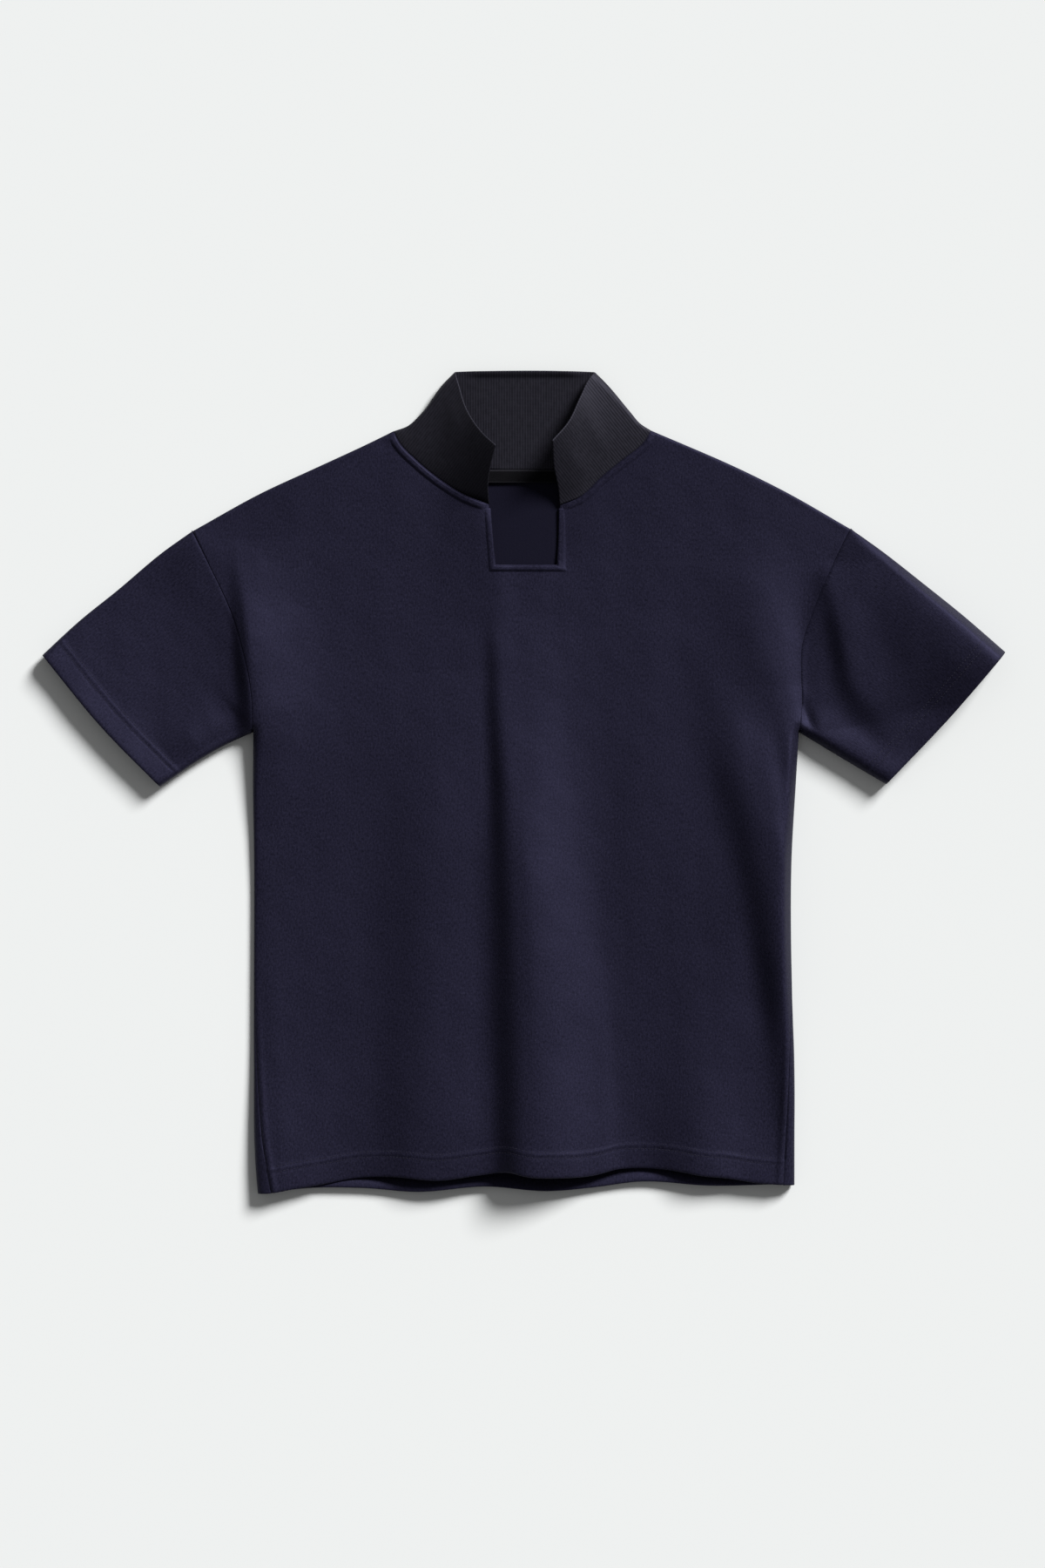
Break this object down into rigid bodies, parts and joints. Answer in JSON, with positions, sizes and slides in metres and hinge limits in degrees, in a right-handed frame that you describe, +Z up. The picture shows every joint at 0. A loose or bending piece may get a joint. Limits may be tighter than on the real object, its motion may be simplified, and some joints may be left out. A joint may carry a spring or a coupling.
{
  "type": "polo shirt",
  "caption": "Short-sleeved jersey polo shirt with drop shoulders, an open rib collar and a squared front notch, laid flat on its back.",
  "frame": {"origin": "on the surface that the shirt lies on, below the middle of its bounding box", "axes": "+X from the viewer's left cuff to the right cuff (the wearer's left), +Y from the hem to the collar, +Z up out of the shirt's front"},
  "size_m": [0.8272, 0.7067, 0.04],
  "materials": {
    "front": "matt navy cotton jersey",
    "back": "matt navy cotton jersey",
    "sleeve_left": "matt navy cotton jersey",
    "sleeve_right": "matt navy cotton jersey",
    "collar": "charcoal one-by-one rib knit",
    "neck_binding_left": "matt navy cotton jersey",
    "neck_binding_right": "matt navy cotton jersey",
    "notch_band": "matt navy cotton jersey",
    "neck_label": "black woven tape"
  },
  "bodies": {
    "root": {"front": "front", "back": "back", "sleeve_left": "sleeve_left", "sleeve_right": "sleeve_right", "collar": "collar", "neck_binding_left": "neck_binding_left", "neck_binding_right": "neck_binding_right", "notch_band": "notch_band", "neck_label": "neck_label"}
  },
  "joints": []
}
